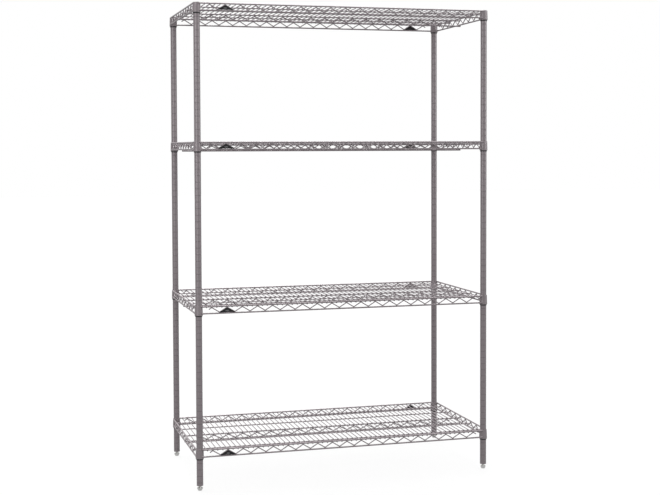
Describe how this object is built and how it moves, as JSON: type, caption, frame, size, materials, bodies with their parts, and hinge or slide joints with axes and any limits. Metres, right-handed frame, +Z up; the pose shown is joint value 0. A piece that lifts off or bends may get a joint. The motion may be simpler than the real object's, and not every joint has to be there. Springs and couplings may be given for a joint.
{
  "type": "wire shelving rack",
  "caption": "Free-standing wire shelving rack: grooved tube posts on screw feet carry welded wire shelves that lower onto tapered split sleeves.",
  "frame": {"origin": "on the floor, in the middle of the rack's footprint", "axes": "+Z up, +X to the right along the shelves' length as seen from the front, +Y towards the rear; the front faces -Y"},
  "size_m": [1.2196, 0.611, 1.8918],
  "materials": {
    "coat": "baked epoxy powder coat, mauve-grey, fine orange peel, satin",
    "zinc": "bright zinc plate, slightly worn",
    "sleeve": "black moulded plastic, satin",
    "badge": "black moulded plastic, blank face"
  },
  "bodies": {
    "posts": {"front_left_post": "coat", "front_left_post_cap": "coat", "front_left_foot_insert": "zinc", "front_right_post": "coat", "front_right_post_cap": "coat", "front_right_foot_insert": "zinc", "rear_left_post": "coat", "rear_left_post_cap": "coat", "rear_left_foot_insert": "zinc", "rear_right_post": "coat", "rear_right_post_cap": "coat", "rear_right_foot_insert": "zinc", "bottom_shelf_split_sleeves": "sleeve", "lower_shelf_split_sleeves": "sleeve", "upper_shelf_split_sleeves": "sleeve", "top_shelf_split_sleeves": "sleeve"},
    "bottom_shelf": {"bottom_shelf_collars": "coat", "bottom_shelf_front_truss": "coat", "bottom_shelf_rear_truss": "coat", "bottom_shelf_left_truss": "coat", "bottom_shelf_right_truss": "coat", "bottom_shelf_middle_truss": "coat", "bottom_shelf_deck_mat": "coat", "bottom_shelf_blank_badges": "badge"},
    "lower_shelf": {"lower_shelf_collars": "coat", "lower_shelf_front_truss": "coat", "lower_shelf_rear_truss": "coat", "lower_shelf_left_truss": "coat", "lower_shelf_right_truss": "coat", "lower_shelf_middle_truss": "coat", "lower_shelf_deck_mat": "coat", "lower_shelf_blank_badges": "badge"},
    "upper_shelf": {"upper_shelf_collars": "coat", "upper_shelf_front_truss": "coat", "upper_shelf_rear_truss": "coat", "upper_shelf_left_truss": "coat", "upper_shelf_right_truss": "coat", "upper_shelf_middle_truss": "coat", "upper_shelf_deck_mat": "coat", "upper_shelf_blank_badges": "badge"},
    "top_shelf": {"top_shelf_collars": "coat", "top_shelf_front_truss": "coat", "top_shelf_rear_truss": "coat", "top_shelf_left_truss": "coat", "top_shelf_right_truss": "coat", "top_shelf_middle_truss": "coat", "top_shelf_deck_mat": "coat", "top_shelf_blank_badges": "badge"},
    "front_left_foot": {"front_left_levelling_foot": "zinc"},
    "front_right_foot": {"front_right_levelling_foot": "zinc"},
    "rear_left_foot": {"rear_left_levelling_foot": "zinc"},
    "rear_right_foot": {"rear_right_levelling_foot": "zinc"}
  },
  "joints": [
    {"name": "bottom_shelf_lift", "type": "slide", "parent": "posts", "child": "bottom_shelf", "axis": [0, 0, 1], "range_m": [0, 0.516]},
    {"name": "lower_shelf_lift", "type": "slide", "parent": "posts", "child": "lower_shelf", "axis": [0, 0, 1], "range_m": [0, 0.592]},
    {"name": "upper_shelf_lift", "type": "slide", "parent": "posts", "child": "upper_shelf", "axis": [0, 0, 1], "range_m": [0, 0.49]},
    {"name": "top_shelf_lift", "type": "slide", "parent": "posts", "child": "top_shelf", "axis": [0, 0, 1], "range_m": [0, 0.3]},
    {"name": "front_left_foot_screw", "type": "slide", "parent": "posts", "child": "front_left_foot", "axis": [0, 0, 1], "range_m": [-0.012, 0.006]},
    {"name": "front_right_foot_screw", "type": "slide", "parent": "posts", "child": "front_right_foot", "axis": [0, 0, 1], "range_m": [-0.012, 0.006]},
    {"name": "rear_left_foot_screw", "type": "slide", "parent": "posts", "child": "rear_left_foot", "axis": [0, 0, 1], "range_m": [-0.012, 0.006]},
    {"name": "rear_right_foot_screw", "type": "slide", "parent": "posts", "child": "rear_right_foot", "axis": [0, 0, 1], "range_m": [-0.012, 0.006]}
  ]
}
